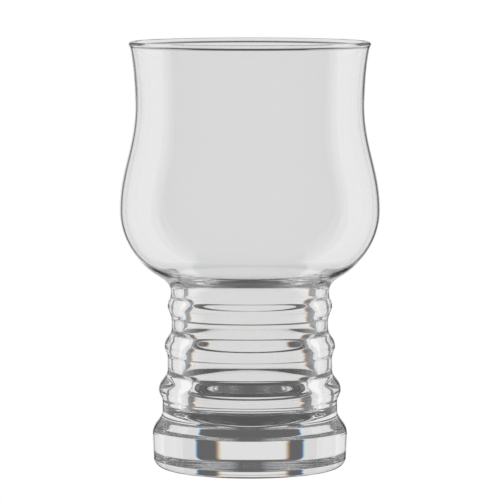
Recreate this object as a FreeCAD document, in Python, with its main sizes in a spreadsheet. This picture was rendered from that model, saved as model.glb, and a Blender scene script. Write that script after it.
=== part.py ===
"""Footed pint glass with a ribbed, hollow stem.

Frame: millimetres, +Z up along the axis of the glass, origin at the centre of the resting plane.
The glass is one continuous piece made of three worked zones, modelled as three closed solids
that meet face to face: foot, ribbed_stem and bowl. Each zone is one outline turned about Z.
"""

import FreeCAD, Part
import os

import Sketcher

# alias, value in millimetres (or degrees, or a fraction where the note says so), note
DIMENSIONS = [
    # foot: a solid, slightly tapered disc with a shallow hollow underneath
    ("punt_height", 0.6, "depth of the hollow under the foot"),
    ("ring_radius", 27.0, "inner edge of the flat resting ring"),
    ("base_round", 3.8, "rounding between the resting ring and the side"),
    ("foot_radius", 35.53, "widest radius of the foot, at its shoulder"),
    ("foot_shoulder", 12.1, "height of that shoulder"),
    ("foot_draft", 2.7, "taper of the foot's side, in degrees"),
    # stem: valleys a, b, c and ribs a, b, c, counted upwards from the foot
    ("valley_a_radius", 31.93, "radius of the valley above the foot"),
    ("valley_a_low", 21.0, "height where that valley starts"),
    ("foot_joint", 23.5, "height where that valley ends and the foot meets the stem"),
    ("rib_a_radius", 33.21, "crest of the lowest rib"),
    ("rib_a_height", 28.3, "height of that crest"),
    ("valley_b_radius", 30.04, "radius of the valley above the lowest rib"),
    ("valley_b_low", 35.8, "height where that valley starts"),
    ("valley_b_high", 39.6, "height where that valley ends"),
    ("rib_b_radius", 31.11, "crest of the middle rib"),
    ("rib_b_height", 44.1, "height of that crest"),
    ("valley_c_radius", 28.55, "radius of the valley above the middle rib"),
    ("valley_c_low", 51.1, "height where that valley starts"),
    ("valley_c_high", 53.2, "height where that valley ends"),
    ("rib_c_radius", 30.0, "crest of the top rib"),
    ("rib_c_height", 58.8, "height of that crest"),
    ("neck_radius", 28.89, "radius of the neck between the top rib and the bowl"),
    ("neck_low", 63.4, "height where the neck starts"),
    ("bowl_joint", 64.0, "height where the neck ends and the stem meets the bowl"),
    # how long each bend of the ribs stays upright at its ends, as fractions of its height
    ("rise_start", 0.44, "at the bottom of a bend that widens upwards (fraction)"),
    ("rise_end", 0.30, "at the top of a bend that widens upwards (fraction)"),
    ("fall_start", 0.48, "at the bottom of a bend that narrows upwards (fraction)"),
    ("fall_end", 0.42, "at the top of a bend that narrows upwards (fraction)"),
    # bore of the stem, which ends in a rounded hollow in the foot
    ("bore_radius", 25.0, "radius of the smooth bore"),
    ("bore_bend", 23.0, "height where the bore's wall starts to turn in"),
    ("bore_floor", 10.5, "lowest point of the bore"),
    ("bore_drop", 0.2, "upright start of the bore's end (fraction of its depth, 0.55 is an ellipse)"),
    ("bore_spread", 0.5, "level floor of the bore's end (fraction of its radius, 0.55 is an ellipse)"),
    ("bore_top", 64.3, "height where the bore opens into the bowl"),
    # bowl, outside
    ("fillet_pull", 3.2, "upright start of the fillet above the neck"),
    ("shoulder_radius", 33.1, "point where the fillet turns over into the belly"),
    ("shoulder_height", 69.95, "height of that point"),
    ("shoulder_tilt", 60.0, "slope of the wall there, in degrees from upright"),
    ("shoulder_pull", 1.8, "straightness of the wall just below that point"),
    ("underside_pull", 9.5, "straightness of the wall just above that point"),
    ("belly_radius", 47.31, "widest radius of the bowl"),
    ("belly_height", 93.6, "height of that radius"),
    ("belly_pull_low", 9.5, "upright stretch below the belly"),
    ("belly_pull_high", 15.5, "upright stretch above the belly"),
    ("waist_radius", 41.58, "narrowest radius above the belly"),
    ("waist_height", 132.6, "height of that radius"),
    ("waist_pull_low", 16.0, "upright stretch below the waist"),
    ("waist_pull_high", 4.5, "upright stretch above the waist"),
    ("lip_radius", 43.95, "outer radius of the rim"),
    ("lip_height", 154.2, "height of the centre of the beaded rim"),
    ("lip_round", 1.0, "radius of the bead on the rim"),
    ("lip_lean", 14.0, "outward lean of the wall below the bead, in degrees"),
    ("lip_pull", 6.0, "straightness of the wall below the bead"),
    ("bead_depth", 1.35, "how far down the wall the bead ends"),
    ("bead_step", 0.15, "how far the bead stands out from the wall"),
    ("bead_wall", 0.75, "thickness of the wall where the bead ends"),
    ("bead_pull_low", 1.0, "straightness of the wall where it runs into the bead"),
    ("bead_pull_high", 0.5, "upright stretch below the side of the bead"),
    # bowl, inside
    ("wall", 1.0, "thickness of the bowl's wall"),
    ("inner_belly_pull", 10.0, "upright stretch of the inner wall below the belly"),
    ("inner_underside_pull", 8.0, "straightness of the inner wall above its shoulder"),
    ("inner_shoulder_radius", 31.7, "point where the inner wall turns over into the bore"),
    ("inner_shoulder_height", 70.95, "height of that point"),
    ("inner_shoulder_tilt", 76.0, "slope of the inner wall there, in degrees from upright"),
    ("mouth_pull", 3.5, "straightness of the inner wall just below that point"),
    ("mouth_rise", 5.0, "upright start of the inner wall above the bore"),
]


def make_sheet(doc):
    """The spreadsheet that drives every sketch."""
    sheet = doc.addObject("Spreadsheet::Sheet", "dims")
    for row, (alias, size, note) in enumerate(DIMENSIONS, start=1):
        sheet.set(f"A{row}", str(size))
        sheet.setAlias(f"A{row}", alias)
        sheet.set(f"B{row}", note)
    doc.recompute()
    return sheet


def upright_bend(low, high, pull_low, pull_high):
    """Four poles of a bend that runs straight up at both ends. Poles are (radius, height) expressions."""
    (low_radius, low_height), (high_radius, high_height) = low, high
    climb = f"({high_height} - {low_height})"
    return [
        low,
        (low_radius, f"{low_height} + dims.{pull_low} * {climb}"),
        (high_radius, f"{high_height} - dims.{pull_high} * {climb}"),
        high,
    ]


def rise(low, high):
    """A bend that widens upwards, from a valley to the crest of a rib."""
    return upright_bend(low, high, "rise_start", "rise_end")


def fall(low, high):
    """A bend that narrows upwards, from a crest to the valley above it."""
    return upright_bend(low, high, "fall_start", "fall_end")


def place(sketch, point):
    """A point of the sketch, from its two expressions."""
    radius, height = point
    return FreeCAD.Vector(float(sketch.evalExpression(radius)), float(sketch.evalExpression(height)), 0)


def fix(sketch, geometry, position, kind, expression):
    """Holds one coordinate of a point: DistanceX is its radius and DistanceY its height."""
    amount = float(sketch.evalExpression(expression))
    if amount == 0.0:
        axis = -2 if kind == "DistanceX" else -1
        sketch.addConstraint(Sketcher.Constraint("PointOnObject", geometry, position, axis))
        return
    index = sketch.addConstraint(Sketcher.Constraint(kind, -1, 1, geometry, position, amount))
    sketch.setExpression(f"Constraints[{index}]", expression)


def fix_point(sketch, geometry, position, point):
    """Holds both coordinates of a point."""
    fix(sketch, geometry, position, "DistanceX", point[0])
    fix(sketch, geometry, position, "DistanceY", point[1])


def draw_line(sketch, points):
    """A straight edge between two points."""
    return sketch.addGeometry(Part.LineSegment(*[place(sketch, point) for point in points]))


def draw_curve(sketch, points):
    """A curve whose four poles are held by the centres of its pole circles."""
    poles = [place(sketch, point) for point in points]
    edge = sketch.addGeometry(Part.BSplineCurve(poles, None, None, False, 3, None, False))
    sketch.exposeInternalGeometry(edge)
    for number in (1, 2):
        circle = edge + 1 + number
        fix_point(sketch, circle, CENTRE, points[number])
    return edge


def draw_arc(sketch, points, kind, expression):
    """An arc through three points. One coordinate of its centre settles it once its ends are held."""
    edge = sketch.addGeometry(Part.Arc(*[place(sketch, point) for point in points]))
    fix(sketch, edge, CENTRE, kind, expression)
    return edge


START, END, CENTRE = 1, 2, 3
DRAWERS = {"line": draw_line, "curve": draw_curve, "arc": draw_arc}


def draw(sketch, outline):
    """Draws a closed outline of lines, curves and arcs, each starting where the last one ends."""
    edges = []
    for step in outline:
        name, points = step[0], step[1]
        edge = DRAWERS[name](sketch, *step[1:])
        # an arc may be stored from its other end
        start, end = START, END
        if name == "arc" and sketch.getPoint(edge, START).distanceToPoint(place(sketch, points[0])) > 1e-6:
            start, end = END, START
        if edges:
            last_edge, last_end = edges[-1]
            sketch.addConstraint(Sketcher.Constraint("Coincident", last_edge, last_end, edge, start))
        else:
            first_edge, first_start = edge, start
            fix_point(sketch, edge, start, points[0])
        if len(edges) < len(outline) - 1:
            fix_point(sketch, edge, end, points[-1])
        edges.append((edge, end))
    last_edge, last_end = edges[-1]
    sketch.addConstraint(Sketcher.Constraint("Coincident", last_edge, last_end, first_edge, first_start))


def turned_body(doc, label, outline):
    """A body whose outline is turned once about the axis of the glass."""
    body = doc.addObject("PartDesign::Body", label)
    body.Label = label
    body.Placement = FreeCAD.Placement()
    planes = {feature.Role: feature for feature in body.Origin.OriginFeatures}
    sketch = body.newObject("Sketcher::SketchObject", f"{label}_outline")
    sketch.AttachmentSupport = [(planes["XZ_Plane"], "")]
    sketch.MapMode = "FlatFace"
    draw(sketch, outline)
    doc.recompute()
    turn = body.newObject("PartDesign::Revolution", f"{label}_turn")
    turn.Profile = sketch
    turn.ReferenceAxis = (sketch, ["V_Axis"])
    turn.Angle = 360.0
    body.Tip = turn
    doc.recompute()
    return body


def shifted(point, radius, height):
    """The point moved by two further expressions."""
    return (f"{point[0]} + ({radius})", f"{point[1]} + ({height})")


def foot_outline():
    """The solid foot, whose top holds the rounded end of the bore."""
    lean = "tan(dims.foot_draft) * (dims.foot_shoulder - dims.base_round)"
    round_centre = f"dims.foot_radius - {lean} - dims.base_round / cos(dims.foot_draft)"
    middle_angle = "45 - dims.foot_draft / 2"
    ring_inner = ("dims.ring_radius", "0")
    ring_outer = (round_centre, "0")
    round_middle = shifted(
        (round_centre, "dims.base_round"),
        f"dims.base_round * sin({middle_angle})",
        f"-dims.base_round * cos({middle_angle})",
    )
    side_low = shifted(
        (round_centre, "dims.base_round"),
        "dims.base_round * cos(dims.foot_draft)",
        "-dims.base_round * sin(dims.foot_draft)",
    )
    shoulder = ("dims.foot_radius", "dims.foot_shoulder")
    valley_low = ("dims.valley_a_radius", "dims.valley_a_low")
    joint_outer = ("dims.valley_a_radius", "dims.foot_joint")
    joint_inner = ("dims.bore_radius", "dims.foot_joint")
    bore_bend = ("dims.bore_radius", "dims.bore_bend")
    bore_wall_end = shifted(bore_bend, "0", "-dims.bore_drop * (dims.bore_bend - dims.bore_floor)")
    bore_floor = ("0", "dims.bore_floor")
    bore_floor_edge = ("dims.bore_spread * dims.bore_radius", "dims.bore_floor")
    punt = ("0", "dims.punt_height")
    punt_middle = ("dims.ring_radius / 2", "0.75 * dims.punt_height")
    return [
        ("arc", [punt, punt_middle, ring_inner], "DistanceX", "0"),
        ("line", [ring_inner, ring_outer]),
        ("arc", [ring_outer, round_middle, side_low], "DistanceY", "dims.base_round"),
        ("line", [side_low, shoulder]),
        ("curve", fall(shoulder, valley_low)),
        ("line", [valley_low, joint_outer]),
        ("line", [joint_outer, joint_inner]),
        ("line", [joint_inner, bore_bend]),
        ("curve", [bore_bend, bore_wall_end, bore_floor_edge, bore_floor]),
        ("line", [bore_floor, punt]),
    ]


def stem_outline():
    """The hollow stem: three rounded ribs outside and a smooth bore inside."""
    joint_inner = ("dims.bore_radius", "dims.foot_joint")
    joint_outer = ("dims.valley_a_radius", "dims.foot_joint")
    neck_low = ("dims.neck_radius", "dims.neck_low")
    neck_high = ("dims.neck_radius", "dims.bowl_joint")
    bore_high = ("dims.bore_radius", "dims.bowl_joint")
    outline = [("line", [joint_inner, joint_outer])]
    valley_high = joint_outer
    for rib, valley in (("a", "b"), ("b", "c"), ("c", None)):
        crest = (f"dims.rib_{rib}_radius", f"dims.rib_{rib}_height")
        outline.append(("curve", rise(valley_high, crest)))
        if valley is None:
            outline.append(("curve", fall(crest, neck_low)))
            break
        valley_low = (f"dims.valley_{valley}_radius", f"dims.valley_{valley}_low")
        valley_high = (f"dims.valley_{valley}_radius", f"dims.valley_{valley}_high")
        outline.append(("curve", fall(crest, valley_low)))
        outline.append(("line", [valley_low, valley_high]))
    outline.append(("line", [neck_low, neck_high]))
    outline.append(("line", [neck_high, bore_high]))
    outline.append(("line", [bore_high, joint_inner]))
    return outline


def along(point, tilt, pull):
    """The point moved up and outward along a slope that leans this far from upright."""
    return shifted(point, f"({pull}) * sin(dims.{tilt})", f"({pull}) * cos(dims.{tilt})")


def upright(point, pull):
    """The point moved straight up."""
    return shifted(point, "0", pull)


def bowl_outline():
    """The thin bowl: neck fillet, belly, waist and beaded rim, then the inner wall back down."""
    neck = ("dims.neck_radius", "dims.bowl_joint")
    shoulder = ("dims.shoulder_radius", "dims.shoulder_height")
    shoulder_low = along(shoulder, "shoulder_tilt", "-dims.shoulder_pull")
    shoulder_high = along(shoulder, "shoulder_tilt", "dims.underside_pull")
    belly = ("dims.belly_radius", "dims.belly_height")
    waist = ("dims.waist_radius", "dims.waist_height")
    lip = ("dims.lip_radius", "dims.lip_height")
    bead = shifted(along(lip, "lip_lean", "-dims.bead_depth"), "-dims.bead_step", "0")
    lip_pull = "-dims.lip_pull"
    outside = [
        [neck, upright(neck, "dims.fillet_pull"), shoulder_low, shoulder],
        [shoulder, shoulder_high, upright(belly, "-dims.belly_pull_low"), belly],
        [belly, upright(belly, "dims.belly_pull_high"), upright(waist, "-dims.waist_pull_low"), waist],
        [waist, upright(waist, "dims.waist_pull_high"), along(bead, "lip_lean", lip_pull), bead],
        [bead, along(bead, "lip_lean", "dims.bead_pull_low"), upright(lip, "-dims.bead_pull_high"), lip],
    ]
    lip_top = shifted(lip, "-dims.lip_round", "dims.lip_round")
    inner_lip = shifted(lip, "-2 * dims.lip_round", "0")
    inner_bead = shifted(bead, "-dims.bead_wall * cos(dims.lip_lean)", "dims.bead_wall * sin(dims.lip_lean)")
    inner_bead_high = along(inner_bead, "lip_lean", "dims.bead_pull_low")
    inner_bead_low = along(inner_bead, "lip_lean", lip_pull)
    inner_waist = shifted(waist, "-dims.wall", "0")
    inner_waist_low = upright(inner_waist, "-dims.waist_pull_low")
    inner_belly = shifted(belly, "-dims.wall", "0")
    inner_shoulder = ("dims.inner_shoulder_radius", "dims.inner_shoulder_height")
    inner_shoulder_low = along(inner_shoulder, "inner_shoulder_tilt", "-dims.mouth_pull")
    inner_shoulder_high = along(inner_shoulder, "inner_shoulder_tilt", "dims.inner_underside_pull")
    bore_top = ("dims.bore_radius", "dims.bore_top")
    bore_joint = ("dims.bore_radius", "dims.bowl_joint")
    inside = [
        [inner_lip, upright(inner_lip, "-dims.bead_pull_high"), inner_bead_high, inner_bead],
        [inner_bead, inner_bead_low, upright(inner_waist, "dims.waist_pull_high"), inner_waist],
        [inner_waist, inner_waist_low, upright(inner_belly, "dims.belly_pull_high"), inner_belly],
        [inner_belly, upright(inner_belly, "-dims.inner_belly_pull"), inner_shoulder_high, inner_shoulder],
        [inner_shoulder, inner_shoulder_low, upright(bore_top, "dims.mouth_rise"), bore_top],
    ]
    return (
        [("curve", poles) for poles in outside]
        + [("arc", [lip, lip_top, inner_lip], "DistanceY", "dims.lip_height")]
        + [("curve", poles) for poles in inside]
        + [("line", [bore_top, bore_joint]), ("line", [bore_joint, neck])]
    )


def check(doc, bodies):
    """Stops the build if any object failed or any body's shape is missing or invalid."""
    for item in doc.Objects:
        if "Invalid" in item.State or "Error" in item.State:
            raise RuntimeError(f"{item.Label} failed: {item.State}")
    for body in bodies:
        if body.Shape.isNull() or not body.Shape.isValid() or len(body.Shape.Solids) != 1:
            raise RuntimeError(f"{body.Label} is not one valid solid")


def main():
    doc = FreeCAD.newDocument("pint_glass")
    make_sheet(doc)
    bodies = [
        turned_body(doc, "foot", foot_outline()),
        turned_body(doc, "ribbed_stem", stem_outline()),
        turned_body(doc, "bowl", bowl_outline()),
    ]
    doc.recompute()
    check(doc, bodies)
    os.makedirs("parts", exist_ok=True)
    for body in bodies:
        body.Shape.exportStep(f"parts/{body.Label}.step")
        box = body.Shape.BoundBox
        print(f"{body.Label}: {body.Shape.Volume / 1000:.1f} ml of glass, z {box.ZMin:.2f} to {box.ZMax:.2f}")


main()
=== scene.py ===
"""Footed pint glass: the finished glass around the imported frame, with its studio and camera.

Everything is in metres, in the frame of the CAD model: +Z up along the axis of the glass, origin at the
centre of the resting plane. Each zone of the glass is one outline of (radius, height) points turned about Z.
"""

import math

import bpy
import numpy as np
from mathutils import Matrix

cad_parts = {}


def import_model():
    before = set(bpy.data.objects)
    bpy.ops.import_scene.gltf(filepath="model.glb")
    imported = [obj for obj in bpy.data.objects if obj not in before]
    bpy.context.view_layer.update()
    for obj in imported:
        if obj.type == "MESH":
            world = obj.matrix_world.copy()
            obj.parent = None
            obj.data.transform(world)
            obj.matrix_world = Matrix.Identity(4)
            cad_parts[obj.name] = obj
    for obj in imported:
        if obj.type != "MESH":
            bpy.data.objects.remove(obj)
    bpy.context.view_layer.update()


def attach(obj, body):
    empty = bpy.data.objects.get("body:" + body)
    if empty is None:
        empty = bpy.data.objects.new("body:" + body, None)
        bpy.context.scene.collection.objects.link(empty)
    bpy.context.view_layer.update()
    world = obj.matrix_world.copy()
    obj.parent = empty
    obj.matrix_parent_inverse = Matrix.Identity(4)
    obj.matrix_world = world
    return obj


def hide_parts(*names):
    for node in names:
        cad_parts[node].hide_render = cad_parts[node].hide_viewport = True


MM = 0.001

# Sizes in millimetres, the same as the driving dimensions of the CAD model.
PUNT_HEIGHT = 0.6
RING_RADIUS = 27.0
BASE_ROUND = 3.8
FOOT_RADIUS = 35.53
FOOT_SHOULDER = 12.1
FOOT_DRAFT = math.radians(2.7)
VALLEY_A_RADIUS = 31.93
VALLEY_A_LOW = 21.0
FOOT_JOINT = 23.5
# each rib: crest radius, crest height
RIBS = [(33.21, 28.3), (31.11, 44.1), (30.0, 58.8)]
# the valley above each of the two lower ribs: radius, lowest height, highest height
VALLEYS = [(30.04, 35.8, 39.6), (28.55, 51.1, 53.2)]
NECK_RADIUS = 28.89
NECK_LOW = 63.4
BOWL_JOINT = 64.0
RISE = (0.44, 0.30)
FALL = (0.48, 0.42)
BORE_RADIUS = 25.0
BORE_BEND = 23.0
BORE_FLOOR = 10.5
BORE_DROP = 0.2
BORE_SPREAD = 0.5
BORE_TOP = 64.3
FILLET_PULL = 3.2
SHOULDER = (33.1, 69.95)
SHOULDER_TILT = math.radians(60.0)
SHOULDER_PULL = 1.8
UNDERSIDE_PULL = 9.5
BELLY = (47.31, 93.6)
BELLY_PULLS = (9.5, 15.5)
WAIST = (41.58, 132.6)
WAIST_PULLS = (16.0, 4.5)
LIP = (43.95, 154.2)
LIP_ROUND = 1.0
LIP_LEAN = math.radians(14.0)
LIP_PULL = 6.0
BEAD_DEPTH = 1.35
BEAD_STEP = 0.15
BEAD_WALL = 0.75
BEAD_PULLS = (1.0, 0.5)
WALL = 1.0
INNER_BELLY_PULL = 10.0
INNER_UNDERSIDE_PULL = 8.0
INNER_SHOULDER = (31.7, 70.95)
INNER_SHOULDER_TILT = math.radians(76.0)
MOUTH_PULL = 3.5
MOUTH_RISE = 5.0

# How finely the outlines are turned and stepped.
SIDES = 512
CURVE_STEPS = 28
ARC_STEPS = 20


# ---------------------------------------------------------------- outlines

def curve(start, pull_start, pull_end, end, steps=CURVE_STEPS):
    """Points of a cubic curve with these four poles."""
    t = np.linspace(0.0, 1.0, steps + 1)[:, None]
    poles = [np.array(p, float) for p in (start, pull_start, pull_end, end)]
    weights = ((1 - t) ** 3, 3 * (1 - t) ** 2 * t, 3 * (1 - t) * t**2, t**3)
    return sum(w * p for w, p in zip(weights, poles))


def upright_bend(low, high, pulls):
    """A bend that runs straight up at both ends."""
    climb = high[1] - low[1]
    return curve(low, (low[0], low[1] + pulls[0] * climb), (high[0], high[1] - pulls[1] * climb), high)


def round_corner(centre, radius, start, end, steps=ARC_STEPS):
    """Points of an arc. Angles are measured from the outward direction, upwards."""
    angles = np.linspace(start, end, steps + 1)
    return np.stack([centre[0] + radius * np.cos(angles), centre[1] + radius * np.sin(angles)], axis=1)


def straight(start, end, steps=1):
    """Points of a straight line."""
    return np.linspace(start, end, steps + 1)


def moved(point, radius, height):
    return (point[0] + radius, point[1] + height)


def along(point, tilt, pull):
    """The point moved up and outward along a slope that leans this far from upright."""
    return moved(point, pull * math.sin(tilt), pull * math.cos(tilt))


def chain(pieces):
    """One run of points from several that meet end to end."""
    return np.concatenate([pieces[0]] + [piece[1:] for piece in pieces[1:]])


def foot_outside():
    """From the axis under the foot, out along the resting ring and up to the valley above the foot."""
    lean = math.tan(FOOT_DRAFT) * (FOOT_SHOULDER - BASE_ROUND)
    centre = (FOOT_RADIUS - lean - BASE_ROUND / math.cos(FOOT_DRAFT), BASE_ROUND)
    punt_steps = 24
    radii = np.linspace(0.0, RING_RADIUS, punt_steps + 1)
    punt = np.stack([radii, PUNT_HEIGHT * (1 - (radii / RING_RADIUS) ** 2)], axis=1)
    rounding = round_corner(centre, BASE_ROUND, -math.pi / 2, -FOOT_DRAFT)
    shoulder = (FOOT_RADIUS, FOOT_SHOULDER)
    return chain([
        punt,
        straight((RING_RADIUS, 0.0), tuple(rounding[0])),
        rounding,
        straight(tuple(rounding[-1]), shoulder, 4),
        upright_bend(shoulder, (VALLEY_A_RADIUS, VALLEY_A_LOW), FALL),
        straight((VALLEY_A_RADIUS, VALLEY_A_LOW), (VALLEY_A_RADIUS, FOOT_JOINT), 2),
    ])


def bore_end():
    """From the joint down the bore and round to the axis."""
    depth = BORE_DROP * (BORE_BEND - BORE_FLOOR)
    return chain([
        straight((BORE_RADIUS, FOOT_JOINT), (BORE_RADIUS, BORE_BEND)),
        curve(
            (BORE_RADIUS, BORE_BEND),
            (BORE_RADIUS, BORE_BEND - depth),
            (BORE_SPREAD * BORE_RADIUS, BORE_FLOOR),
            (0.0, BORE_FLOOR),
            2 * CURVE_STEPS,
        ),
    ])


def stem_outside():
    """From the valley above the foot over the ribs to the neck."""
    low = (VALLEY_A_RADIUS, FOOT_JOINT)
    run = []
    for crest, valley in zip(RIBS, VALLEYS + [None]):
        run.append(upright_bend(low, crest, RISE))
        if valley is None:
            run.append(upright_bend(crest, (NECK_RADIUS, NECK_LOW), FALL))
            break
        radius, valley_low, valley_high = valley
        run.append(upright_bend(crest, (radius, valley_low), FALL))
        run.append(straight((radius, valley_low), (radius, valley_high), 3))
        low = (radius, valley_high)
    run.append(straight((NECK_RADIUS, NECK_LOW), (NECK_RADIUS, BOWL_JOINT)))
    return chain(run)


def under_bead():
    """The outer point of the thin wall just under the rounded rim."""
    return moved(along(LIP, LIP_LEAN, -BEAD_DEPTH), -BEAD_STEP, 0)


def bowl_outside():
    """From the neck over the shoulder, belly and waist to the rim."""
    neck = (NECK_RADIUS, BOWL_JOINT)
    bead = under_bead()
    shoulder_low = along(SHOULDER, SHOULDER_TILT, -SHOULDER_PULL)
    shoulder_high = along(SHOULDER, SHOULDER_TILT, UNDERSIDE_PULL)
    return chain([
        curve(neck, moved(neck, 0, FILLET_PULL), shoulder_low, SHOULDER),
        curve(SHOULDER, shoulder_high, moved(BELLY, 0, -BELLY_PULLS[0]), BELLY),
        curve(BELLY, moved(BELLY, 0, BELLY_PULLS[1]), moved(WAIST, 0, -WAIST_PULLS[0]), WAIST),
        curve(WAIST, moved(WAIST, 0, WAIST_PULLS[1]), along(bead, LIP_LEAN, -LIP_PULL), bead),
        curve(bead, along(bead, LIP_LEAN, BEAD_PULLS[0]), moved(LIP, 0, -BEAD_PULLS[1]), LIP),
    ])


def bowl_inside():
    """From the rim down the inner wall and into the bore."""
    lip = moved(LIP, -2 * LIP_ROUND, 0)
    bead = moved(under_bead(), -BEAD_WALL * math.cos(LIP_LEAN), BEAD_WALL * math.sin(LIP_LEAN))
    waist = moved(WAIST, -WALL, 0)
    belly = moved(BELLY, -WALL, 0)
    shoulder_low = along(INNER_SHOULDER, INNER_SHOULDER_TILT, -MOUTH_PULL)
    shoulder_high = along(INNER_SHOULDER, INNER_SHOULDER_TILT, INNER_UNDERSIDE_PULL)
    mouth = (BORE_RADIUS, BORE_TOP)
    return chain([
        curve(lip, moved(lip, 0, -BEAD_PULLS[1]), along(bead, LIP_LEAN, BEAD_PULLS[0]), bead),
        curve(bead, along(bead, LIP_LEAN, -LIP_PULL), moved(waist, 0, WAIST_PULLS[1]), waist),
        curve(waist, moved(waist, 0, -WAIST_PULLS[0]), moved(belly, 0, BELLY_PULLS[1]), belly),
        curve(belly, moved(belly, 0, -INNER_BELLY_PULL), shoulder_high, INNER_SHOULDER),
        curve(INNER_SHOULDER, shoulder_low, moved(mouth, 0, MOUTH_RISE), mouth),
        straight(mouth, (BORE_RADIUS, BOWL_JOINT)),
    ])


# ---------------------------------------------------------------- meshes

def turned(name, runs, glass, weld):
    """A closed mesh from runs of (points, is_weld), each turned about Z. Weld runs get the weld material
    and sharp edges, so that the surface on either side of a joint keeps its own smooth shading."""
    angles = np.linspace(0.0, 2 * math.pi, SIDES, endpoint=False)
    turn = np.stack([np.cos(angles), np.sin(angles)], axis=1)
    outline = chain([points for points, _ in runs]) * MM
    kinds = np.concatenate([[is_weld] * (len(points) - 1) for points, is_weld in runs])
    closed = np.allclose(outline[0], outline[-1])
    if closed:
        outline = outline[:-1]
    verts = []
    rings = []
    for radius, height in outline:
        first = len(verts)
        if radius < 1e-9:
            verts.append((0.0, 0.0, height))
            rings.append([first] * SIDES)
        else:
            verts.extend((radius * x, radius * y, height) for x, y in turn)
            rings.append(range(first, first + SIDES))
    if closed:
        rings.append(rings[0])
    faces = []
    slots = []
    for low, high, is_weld in zip(rings[:-1], rings[1:], kinds):
        for side in range(SIDES):
            after = (side + 1) % SIDES
            corners = (low[side], low[after], high[after], high[side])
            faces.append(tuple(dict.fromkeys(corners)))
            slots.append(int(is_weld))
    mesh = bpy.data.meshes.new(name)
    mesh.from_pydata(verts, [], faces)
    mesh.materials.append(glass)
    mesh.materials.append(weld)
    mesh.polygons.foreach_set("material_index", slots)
    mesh.polygons.foreach_set("use_smooth", [True] * len(faces))
    mark_weld_edges(mesh)
    mesh.validate()
    mesh.update()
    piece = bpy.data.objects.new(name, mesh)
    bpy.context.scene.collection.objects.link(piece)
    return piece


def mark_weld_edges(mesh):
    """Sharp edges all round the weld faces."""
    slots_at = {}
    for face in mesh.polygons:
        for edge in face.edge_keys:
            slots_at.setdefault(edge, set()).add(face.material_index)
    sharp = [len(slots_at[tuple(sorted(edge.vertices))]) > 1 for edge in mesh.edges]
    mesh.edges.foreach_set("use_edge_sharp", sharp)


# ---------------------------------------------------------------- materials

def new_material(name):
    material = bpy.data.materials.new(name)
    material.use_nodes = True
    tree = material.node_tree
    return material, tree.nodes, tree.links, tree.nodes["Principled BSDF"]


def clear_glass():
    """Clear glass with a polish that leaves it a very little less smooth in places."""
    material, nodes, links, shader = new_material("clear_glass")
    shader.inputs["Base Color"].default_value = (1.0, 1.0, 1.0, 1.0)
    shader.inputs["Transmission Weight"].default_value = 1.0
    shader.inputs["IOR"].default_value = 1.5
    place = nodes.new("ShaderNodeTexCoord")
    patches = nodes.new("ShaderNodeTexNoise")
    patches.inputs["Scale"].default_value = 40.0
    polish = nodes.new("ShaderNodeMapRange")
    polish.inputs["From Min"].default_value = 0.45
    polish.inputs["To Max"].default_value = 0.012
    links.new(place.outputs["Object"], patches.inputs["Vector"])
    links.new(patches.outputs["Fac"], polish.inputs["Value"])
    links.new(polish.outputs["Result"], shader.inputs["Roughness"])
    return material


def weld_glass():
    """The faces where two zones are one unbroken glass: they let every ray straight through."""
    material, _, _, shader = new_material("weld")
    shader.inputs["Base Color"].default_value = (1.0, 1.0, 1.0, 1.0)
    shader.inputs["Alpha"].default_value = 0.0
    return material


# ---------------------------------------------------------------- studio

# The glass turns and the lights don't, so the camera carries the softboxes.
TARGET_HEIGHT = 0.0793
CAMERA_DISTANCE = 1.380
CAMERA_ELEVATION = math.radians(5.06)
FOCAL_LENGTH = 272.9
SHIFT_X = 0.00028
RIG_RADIUS = 8.0
AMBIENT = 0.13
# painted shade under the glass: the light level, radius and depth below the floor of a dark disc seen only
# through the glass
PAINTED_SHADE_LEVEL = 0.09
PAINTED_SHADE_RADIUS = 0.045
PAINTED_SHADE_DEPTH = 0.0002
FLOOR_HALF = 0.6
# the fall-off at an edge of a softbox, in degrees
SOFT = 2.5
CRISP = 0.8
HARD = 0.01
# the softboxes at each side, from the back round to the front: level, nearest and furthest azimuth
SIDE_LIGHTS = [(0.74, 21.8, 31.5), (0.80, 31.5, 51.0), (0.92, 51.0, 83.0), (0.52, 83.0, 93.5)]
# Glass bends blue light more than red, so the colours reach the soft edges of the panels one after another.
# These are the shares of a fall-off by which red, green and blue come in late, at the back and at the sides.
BACK_SPREAD = (0.0, 0.07, 0.14)
SIDE_SPREAD = (0.3, 0.15, 0.0)


def make_camera():
    data = bpy.data.cameras.new("camera")
    data.sensor_width = 36.0
    data.lens = FOCAL_LENGTH
    data.shift_x = SHIFT_X
    data.clip_end = 100.0
    camera = bpy.data.objects.new("camera", data)
    away = CAMERA_DISTANCE * math.cos(CAMERA_ELEVATION)
    camera.location = (0.0, -away, TARGET_HEIGHT + CAMERA_DISTANCE * math.sin(CAMERA_ELEVATION))
    camera.rotation_euler = (math.pi / 2 - CAMERA_ELEVATION, 0.0, 0.0)
    bpy.context.scene.collection.objects.link(camera)
    bpy.context.scene.camera = camera
    return camera


def fade(nodes, links, value, low, high):
    """A smooth rise from 0 at low to 1 at high."""
    ramp = nodes.new("ShaderNodeMapRange")
    ramp.interpolation_type = "SMOOTHSTEP"
    ramp.inputs["From Min"].default_value = low
    ramp.inputs["From Max"].default_value = high
    links.new(value, ramp.inputs["Value"])
    return ramp.outputs["Result"]


def softbox_share(nodes, links, split, fades, size, spread):
    """How much of the full level one colour has at each place of a softbox."""
    share = None
    for axis, length, (before, after) in zip(("X", "Y"), size, (fades[:2], fades[2:])):
        for edge, reach in ((0.0, before), (length, -after)):
            low = edge + spread * reach
            high = edge + (1 + spread - SIDE_SPREAD[0]) * reach
            mask = fade(nodes, links, split.outputs[axis], low, high)
            if share is None:
                share = mask
                continue
            product = nodes.new("ShaderNodeMath")
            product.operation = "MULTIPLY"
            links.new(share, product.inputs[0])
            links.new(mask, product.inputs[1])
            share = product.outputs[0]
    return share


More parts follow.
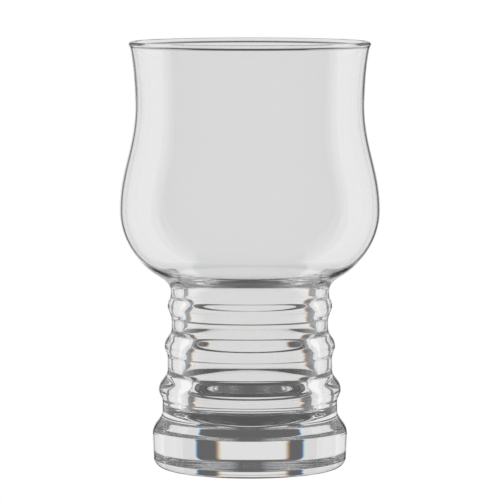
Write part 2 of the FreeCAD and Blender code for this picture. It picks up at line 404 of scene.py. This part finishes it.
def softbox_material(name, level, fades, size, spreads):
    """Even light that falls off to the ambient level towards its edges. size is its width and height, and
    fades is how far each edge's fall-off reaches: left, right, bottom and top. All are in degrees."""
    material = bpy.data.materials.new(name)
    material.use_nodes = True
    nodes = material.node_tree.nodes
    links = material.node_tree.links
    nodes.clear()
    place = nodes.new("ShaderNodeUVMap")
    split = nodes.new("ShaderNodeSeparateXYZ")
    links.new(place.outputs["UV"], split.inputs["Vector"])
    colour = nodes.new("ShaderNodeCombineXYZ")
    for channel, spread in zip(("X", "Y", "Z"), spreads):
        strength = nodes.new("ShaderNodeMapRange")
        strength.inputs["To Min"].default_value = AMBIENT
        strength.inputs["To Max"].default_value = level
        links.new(softbox_share(nodes, links, split, fades, size, spread), strength.inputs["Value"])
        links.new(strength.outputs["Result"], colour.inputs[channel])
    light = nodes.new("ShaderNodeEmission")
    links.new(colour.outputs["Vector"], light.inputs["Color"])
    output = nodes.new("ShaderNodeOutputMaterial")
    links.new(light.outputs["Emission"], output.inputs["Surface"])
    return material


def make_softbox(name, camera, level, azimuths, elevations, fades, spreads):
    """A curved softbox about the glass. Azimuth 0 is straight behind the glass as the camera sees it."""
    columns = 24
    rows = 12
    turn = np.linspace(*azimuths, columns + 1)
    lift = np.linspace(*elevations, rows + 1)
    verts = []
    for elevation in np.radians(lift):
        for azimuth in np.radians(turn):
            flat = RIG_RADIUS * math.cos(elevation)
            height = TARGET_HEIGHT + RIG_RADIUS * math.sin(elevation)
            verts.append((flat * math.sin(azimuth), flat * math.cos(azimuth), height))
    faces = []
    for row in range(rows):
        for column in range(columns):
            first = row * (columns + 1) + column
            faces.append((first, first + 1, first + columns + 2, first + columns + 1))
    mesh = bpy.data.meshes.new(name)
    mesh.from_pydata(verts, [], faces)
    grid = [(u - turn[0], v - lift[0]) for v in lift for u in turn]
    uv = mesh.uv_layers.new(name="degrees")
    for loop in mesh.loops:
        uv.data[loop.index].uv = grid[loop.vertex_index]
    size = (turn[-1] - turn[0], lift[-1] - lift[0])
    mesh.materials.append(softbox_material(name, level, fades, size, spreads))
    panel = bpy.data.objects.new(name, mesh)
    bpy.context.scene.collection.objects.link(panel)
    panel.parent = camera
    panel.matrix_parent_inverse = camera.matrix_basis.inverted()
    panel.visible_camera = False
    return panel


def make_world():
    """Dim ambient light, and a white surround wherever the camera looks past the glass."""
    world = bpy.data.worlds.new("studio")
    world.use_nodes = True
    bpy.context.scene.world = world
    nodes = world.node_tree.nodes
    links = world.node_tree.links
    nodes.clear()
    path = nodes.new("ShaderNodeLightPath")
    level = nodes.new("ShaderNodeMapRange")
    level.inputs["To Min"].default_value = AMBIENT
    level.inputs["To Max"].default_value = 1.0
    links.new(path.outputs["Is Camera Ray"], level.inputs["Value"])
    light = nodes.new("ShaderNodeBackground")
    links.new(level.outputs["Result"], light.inputs["Color"])
    output = nodes.new("ShaderNodeOutputWorld")
    links.new(light.outputs["Background"], output.inputs["Surface"])


def make_floor():
    """A plain white floor that only the camera sees."""
    mesh = bpy.data.meshes.new("floor")
    corners = [(x * FLOOR_HALF, y * FLOOR_HALF, 0) for x, y in ((-1, -1), (1, -1), (1, 1), (-1, 1))]
    mesh.from_pydata(corners, [], [(0, 1, 2, 3)])
    material = bpy.data.materials.new("floor")
    material.use_nodes = True
    nodes = material.node_tree.nodes
    nodes.clear()
    light = nodes.new("ShaderNodeEmission")
    output = nodes.new("ShaderNodeOutputMaterial")
    material.node_tree.links.new(light.outputs["Emission"], output.inputs["Surface"])
    mesh.materials.append(material)
    floor = bpy.data.objects.new("floor", mesh)
    bpy.context.scene.collection.objects.link(floor)
    for ray in ("diffuse", "glossy", "transmission", "volume_scatter", "shadow"):
        setattr(floor, f"visible_{ray}", False)


def make_painted_shade_disc():
    """A round dark disc under the glass, seen only through the glass: painted shade standing in for the
    shaded floor under the glass.
    """
    turn = np.linspace(0.0, 2 * math.pi, 96, endpoint=False)
    mesh = bpy.data.meshes.new("painted_shade_disc")
    verts = [(PAINTED_SHADE_RADIUS * math.cos(a), PAINTED_SHADE_RADIUS * math.sin(a), -PAINTED_SHADE_DEPTH) for a in turn]
    mesh.from_pydata(verts, [], [tuple(range(len(verts)))])
    material = bpy.data.materials.new("painted_shade_disc")
    material.use_nodes = True
    nodes = material.node_tree.nodes
    nodes.clear()
    light = nodes.new("ShaderNodeEmission")
    # painted shade: the disc glows at this dim level in place of the shaded floor under the glass
    light.inputs["Strength"].default_value = PAINTED_SHADE_LEVEL
    output = nodes.new("ShaderNodeOutputMaterial")
    material.node_tree.links.new(light.outputs["Emission"], output.inputs["Surface"])
    mesh.materials.append(material)
    painted_shade_disc = bpy.data.objects.new("painted_shade_disc", mesh)
    bpy.context.scene.collection.objects.link(painted_shade_disc)
    painted_shade_disc.visible_camera = False


def make_glass():
    """The three zones of the glass, each in the place of its CAD node."""
    glass = clear_glass()
    weld = weld_glass()
    foot_top = straight((VALLEY_A_RADIUS, FOOT_JOINT), (BORE_RADIUS, FOOT_JOINT))
    stem_top = straight((NECK_RADIUS, BOWL_JOINT), (BORE_RADIUS, BOWL_JOINT))
    bore = straight((BORE_RADIUS, BOWL_JOINT), (BORE_RADIUS, FOOT_JOINT), 16)
    rim = round_corner(moved(LIP, -LIP_ROUND, 0), LIP_ROUND, 0.0, math.pi)
    zones = {
        "foot": [(foot_outside(), False), (foot_top, True), (bore_end(), False)],
        "ribbed_stem": [(stem_outside(), False), (stem_top, True), (bore, False), (foot_top[::-1], True)],
        "bowl": [(chain([bowl_outside(), rim, bowl_inside()]), False), (stem_top[::-1], True)],
    }
    for node, runs in zones.items():
        piece = turned(f"{node}_glass", runs, glass, weld)
        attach(piece, "root")
        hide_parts(node)


def make_studio():
    camera = make_camera()
    bpy.context.view_layer.update()
    make_world()
    make_floor()
    # painted shade under the glass, seen only through the glass
    make_painted_shade_disc()
    fades = (4.5, 4.5, 8.0, 5.0)
    make_softbox("softbox_back", camera, 0.79, (-17.0, 14.3), (-60.0, 14.0), fades, BACK_SPREAD)
    for side, name in ((-1, "left"), (1, "right")):
        for number, (level, near, far) in enumerate(SIDE_LIGHTS):
            azimuths = sorted((side * near, side * far))
            soft_near = SOFT if number == 0 else HARD
            soft_far = CRISP if number == len(SIDE_LIGHTS) - 1 else HARD
            soft = (soft_far, soft_near) if side < 0 else (soft_near, soft_far)
            fades = (*soft, SOFT, SOFT)
            panel = f"softbox_{name}_{number}"
            make_softbox(panel, camera, level, azimuths, (-60.0, 60.0), fades, SIDE_SPREAD)


def render_settings():
    scene = bpy.context.scene
    scene.view_settings.view_transform = "Standard"
    scene.cycles.use_denoising = True
    scene.cycles.max_bounces = 32
    scene.cycles.transmission_bounces = 32
    scene.cycles.glossy_bounces = 16
    scene.cycles.transparent_max_bounces = 32


def main():
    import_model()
    make_studio()
    make_glass()
    render_settings()


main()
